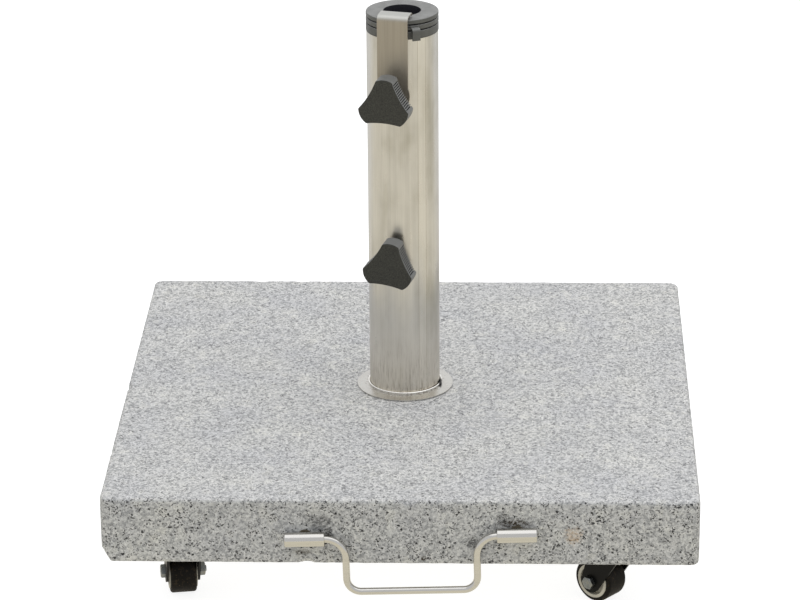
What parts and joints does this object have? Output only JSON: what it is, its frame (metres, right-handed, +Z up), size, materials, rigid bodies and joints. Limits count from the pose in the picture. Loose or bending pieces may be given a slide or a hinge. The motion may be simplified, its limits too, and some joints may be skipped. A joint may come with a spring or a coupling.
{
  "type": "parasol base",
  "caption": "Rolling parasol base: square granite slab on swivel casters, steel pole tube with clamp knobs and adapter rings, drop handle.",
  "frame": {"origin": "on the floor under the middle of the base, slab and front handle together; the post's axis stands 6.6 mm behind it and 2.7 mm to its left", "axes": "+Z up along the pole, the handle on the front towards -Y"},
  "size_m": [0.5, 0.5132, 0.4635],
  "materials": {
    "granite": "flamed and brushed, speckled light grey",
    "brushed_steel": "brushed along the tube",
    "polished_steel": "polished",
    "strap_steel": "mill finish, spring strip",
    "handle_steel": "satin",
    "zinc": "bright zinc plated",
    "ring_plastic": "moulded, dark grey",
    "knob_plastic": "moulded, black, fine texture",
    "caster_metal": "black coated",
    "hub_plastic": "moulded, light grey",
    "tyre_rubber": "black rubber, slightly scuffed",
    "resin": "cured resin",
    "plug_nylon": "nylon"
  },
  "bodies": {
    "base": {"granite_slab": "granite", "rosette": "polished_steel", "pole_tube": "brushed_steel", "tube_foot_disc": "brushed_steel", "tie_bolt": "zinc", "tie_washer": "zinc", "pole_foot_cup": "ring_plastic", "outer_adapter": "ring_plastic", "middle_adapter": "ring_plastic", "inner_adapter": "ring_plastic", "pressure_strap": "strap_steel", "upper_thread_bush": "zinc", "lower_thread_bush": "zinc", "left_handle_sleeve": "handle_steel", "right_handle_sleeve": "handle_steel", "left_sleeve_pin": "zinc", "right_sleeve_pin": "zinc", "handle_resin_plugs": "resin", "caster_screws": "zinc", "caster_plugs": "plug_nylon", "front_left_caster_plate": "caster_metal", "front_left_kingpin": "zinc", "front_right_caster_plate": "caster_metal", "front_right_kingpin": "zinc", "rear_left_caster_plate": "caster_metal", "rear_left_kingpin": "zinc", "rear_right_caster_plate": "caster_metal", "rear_right_kingpin": "zinc"},
    "front_left_fork_body": {"front_left_fork": "caster_metal", "front_left_axle_bolt": "zinc", "front_left_axle_nut": "zinc"},
    "front_left_wheel_body": {"front_left_wheel_hub": "hub_plastic", "front_left_tyre": "tyre_rubber"},
    "front_right_fork_body": {"front_right_fork": "caster_metal", "front_right_axle_bolt": "zinc", "front_right_axle_nut": "zinc"},
    "front_right_wheel_body": {"front_right_wheel_hub": "hub_plastic", "front_right_tyre": "tyre_rubber"},
    "rear_left_fork_body": {"rear_left_fork": "caster_metal", "rear_left_axle_bolt": "zinc", "rear_left_axle_nut": "zinc"},
    "rear_left_wheel_body": {"rear_left_wheel_hub": "hub_plastic", "rear_left_tyre": "tyre_rubber"},
    "rear_right_fork_body": {"rear_right_fork": "caster_metal", "rear_right_axle_bolt": "zinc", "rear_right_axle_nut": "zinc"},
    "rear_right_wheel_body": {"rear_right_wheel_hub": "hub_plastic", "rear_right_tyre": "tyre_rubber"},
    "handle": {"handle_bail": "handle_steel"},
    "upper_cap_body": {"upper_thrust_cap": "knob_plastic"},
    "upper_knob_body": {"upper_knob": "knob_plastic", "upper_knob_stud": "zinc"},
    "lower_cap_body": {"lower_thrust_cap": "knob_plastic"},
    "lower_knob_body": {"lower_knob": "knob_plastic", "lower_knob_stud": "zinc"}
  },
  "joints": [
    {"name": "front_left_swivel", "type": "hinge", "parent": "base", "child": "front_left_fork_body", "pos_m": [-0.1845, -0.20492, 0.048], "axis": [0, 0, 1], "continuous": true},
    {"name": "front_left_wheel_spin", "type": "hinge", "parent": "front_left_fork_body", "child": "front_left_wheel_body", "pos_m": [-0.18797, -0.18523, 0.019], "axis": [0.9848, 0.1736, 0], "continuous": true},
    {"name": "front_right_swivel", "type": "hinge", "parent": "base", "child": "front_right_fork_body", "pos_m": [0.1845, -0.20492, 0.048], "axis": [0, 0, 1], "continuous": true},
    {"name": "front_right_wheel_spin", "type": "hinge", "parent": "front_right_fork_body", "child": "front_right_wheel_body", "pos_m": [0.16929, -0.19194, 0.019], "axis": [0.6494, 0.7604, 0], "continuous": true},
    {"name": "rear_left_swivel", "type": "hinge", "parent": "base", "child": "rear_left_fork_body", "pos_m": [-0.1845, 0.21807, 0.048], "axis": [0, 0, 1], "continuous": true},
    {"name": "rear_left_wheel_spin", "type": "hinge", "parent": "rear_left_fork_body", "child": "rear_left_wheel_body", "pos_m": [-0.20026, 0.23039, 0.019], "axis": [0.6157, 0.788, 0], "continuous": true},
    {"name": "rear_right_swivel", "type": "hinge", "parent": "base", "child": "rear_right_fork_body", "pos_m": [0.1845, 0.21807, 0.048], "axis": [0, 0, 1], "continuous": true},
    {"name": "rear_right_wheel_spin", "type": "hinge", "parent": "rear_right_fork_body", "child": "rear_right_wheel_body", "pos_m": [0.19681, 0.23383, 0.019], "axis": [0.788, -0.6157, 0], "continuous": true},
    {"name": "handle_hinge", "type": "hinge", "parent": "base", "child": "handle", "pos_m": [0.0097, -0.25043, 0.0818], "axis": [-0.9996, 0, -0.0279], "range_deg": [-3, 175]},
    {"name": "upper_clamp_travel", "type": "slide", "parent": "base", "child": "upper_cap_body", "axis": [0.2334, 0.9724, 0], "range_m": [-0.0031, 0.0076]},
    {"name": "upper_knob_turn", "type": "hinge", "parent": "upper_cap_body", "child": "upper_knob_body", "pos_m": [-0.01367, -0.03913, 0.393], "axis": [0.2334, 0.9724, 0], "range_deg": [-720, 1800]},
    {"name": "lower_clamp_travel", "type": "slide", "parent": "base", "child": "lower_cap_body", "axis": [0.2334, 0.9724, 0], "range_m": [-0.0121, 0.0016]},
    {"name": "lower_knob_turn", "type": "hinge", "parent": "lower_cap_body", "child": "lower_knob_body", "pos_m": [-0.01157, -0.03037, 0.2415], "axis": [0.2334, 0.9724, 0], "range_deg": [-2880, 360]}
  ],
  "couplings": [
    {"joint": "upper_clamp_travel", "follows": "upper_knob_turn", "m_per_rad": 0.00023873},
    {"joint": "lower_clamp_travel", "follows": "lower_knob_turn", "m_per_rad": 0.00023873}
  ]
}
